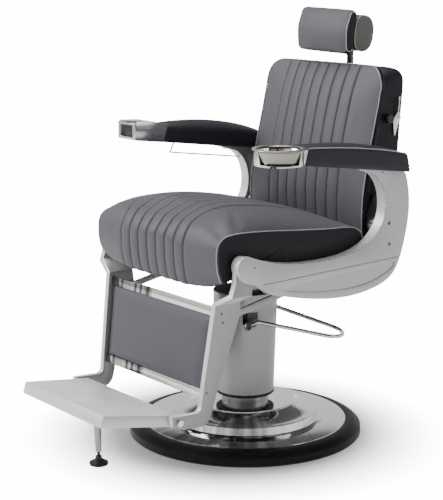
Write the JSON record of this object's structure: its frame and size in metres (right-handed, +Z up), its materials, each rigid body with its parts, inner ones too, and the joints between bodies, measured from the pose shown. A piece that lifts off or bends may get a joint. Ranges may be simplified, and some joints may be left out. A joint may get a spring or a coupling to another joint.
{
  "type": "hydraulic barber chair",
  "caption": "Barber chair on a round pump base: channelled seat and back, cast side frames, padded arms, headrest, hanging leg rest and folding footrest.",
  "frame": {"origin": "on the floor, at the centre of the round base", "axes": "+Z up, the sitter faces -Y, the sitter's left is +X"},
  "size_m": [0.6865, 0.961, 1.1281],
  "materials": {
    "cast_silver": "satin painted casting, silver",
    "bright_chrome": "polished",
    "satin_column": "satin, silver",
    "steel": "ground",
    "base_casting": "black painted casting",
    "grey_vinyl": "semi-matt leather cloth, slate grey",
    "olive_vinyl": "semi-matt leather cloth, darker grey",
    "black_vinyl": "semi-matt leather cloth, black",
    "board": "plain plywood",
    "black_rubber": "matt",
    "black_plastic": "matt"
  },
  "bodies": {
    "base": {"floor_ring": "black_rubber", "base_plate": "base_casting", "base_cover": "bright_chrome", "collar_disc": "bright_chrome", "pump_cylinder": "steel", "cylinder_gland": "steel"},
    "column": {"column_cover": "satin_column", "column_lip": "black_rubber", "guide_bush": "black_plastic", "lift_ram": "steel", "column_head": "cast_silver", "swivel_spindle": "steel"},
    "pump_lever": {"lever_shaft": "bright_chrome", "lever_loop": "bright_chrome"},
    "seat": {"side_frame_left": "cast_silver", "side_frame_right": "cast_silver", "leg_pivot_pins": "steel", "frame_screws_left": "bright_chrome", "frame_screws_right": "bright_chrome", "cross_tubes": "steel", "seat_carrier": "cast_silver", "seat_board": "board", "seat_cushion": "grey_vinyl", "arm_pad_left": "black_vinyl", "arm_pad_right": "black_vinyl", "arm_cap_left": "bright_chrome", "holder_catch": "black_plastic", "arm_cap_right": "bright_chrome", "cap_insert": "black_plastic", "towel_rail": "bright_chrome"},
    "ash_bowl": {"ash_bowl": "bright_chrome"},
    "back": {"back_cushion": "grey_vinyl", "back_shell": "black_vinyl", "back_brackets": "steel", "knob_stud": "steel", "headrest_socket": "steel"},
    "knob": {"lock_knob": "black_plastic"},
    "release": {"release_lever": "bright_chrome"},
    "post": {"headrest_post": "bright_chrome"},
    "headrest": {"headrest_pad": "grey_vinyl", "headrest_roll": "olive_vinyl", "headrest_ears": "steel"},
    "legrest": {"leg_left": "cast_silver", "leg_right": "cast_silver", "legrest_panel": "grey_vinyl", "rest_bar_top": "bright_chrome", "rest_bar_low": "bright_chrome", "link_front_pins": "steel"},
    "links": {"link_bars": "steel"},
    "footrest": {"footrest_plate": "cast_silver", "foot_hinge_pins": "bright_chrome", "stay_tube": "bright_chrome", "stay_stem": "black_plastic", "stay_foot": "black_rubber"}
  },
  "joints": [
    {"name": "lift", "type": "slide", "parent": "base", "child": "column", "axis": [0, 0, 1], "range_m": [0, 0.15]},
    {"name": "pump", "type": "hinge", "parent": "column", "child": "pump_lever", "pos_m": [0.02867, 0.02008, 0.312], "axis": [-0.5736, 0.8192, 0], "range_deg": [0, 22], "stiffness_Nm_per_rad": 8, "springref_deg": -8.59},
    {"name": "swivel", "type": "hinge", "parent": "column", "child": "seat", "pos_m": [0, 0, 0.42], "axis": [0, 0, 1], "continuous": true},
    {"name": "bowl_lift", "type": "slide", "parent": "seat", "child": "ash_bowl", "axis": [0, 0, 1], "range_m": [0, 0.06]},
    {"name": "recline", "type": "hinge", "parent": "seat", "child": "back", "pos_m": [0, 0.238, 0.57], "axis": [-1, 0, 0], "range_deg": [0, 60]},
    {"name": "leg_swing", "type": "hinge", "parent": "seat", "child": "legrest", "pos_m": [0, -0.235, 0.528], "axis": [-1, 0, 0], "range_deg": [0, 43]},
    {"name": "link_swing", "type": "hinge", "parent": "legrest", "child": "links", "pos_m": [0, -0.238, 0.388], "axis": [-1, 0, 0], "range_deg": [-39, 0]},
    {"name": "footrest_fold", "type": "hinge", "parent": "legrest", "child": "footrest", "pos_m": [0, -0.383, 0.15], "axis": [-1, 0, 0], "range_deg": [0, 95]},
    {"name": "knob_turn", "type": "hinge", "parent": "back", "child": "knob", "pos_m": [0.24, 0.285, 0.846], "axis": [1, 0, 0], "range_deg": [0, 90]},
    {"name": "release_pull", "type": "hinge", "parent": "back", "child": "release", "pos_m": [0.232, 0.319, 0.842], "axis": [1, 0, 0], "range_deg": [0, 20], "stiffness_Nm_per_rad": 0.6, "springref_deg": -5.73},
    {"name": "headrest_height", "type": "slide", "parent": "back", "child": "post", "axis": [0, 0, 1], "range_m": [0, 0.1]},
    {"name": "headrest_tilt", "type": "hinge", "parent": "post", "child": "headrest", "pos_m": [0, 0.366, 1.04], "axis": [-1, 0, 0], "range_deg": [-8, 35]}
  ],
  "couplings": [
    {"joint": "leg_swing", "follows": "recline", "ratio": 0.7043},
    {"joint": "link_swing", "follows": "recline", "ratio": -0.6343}
  ]
}
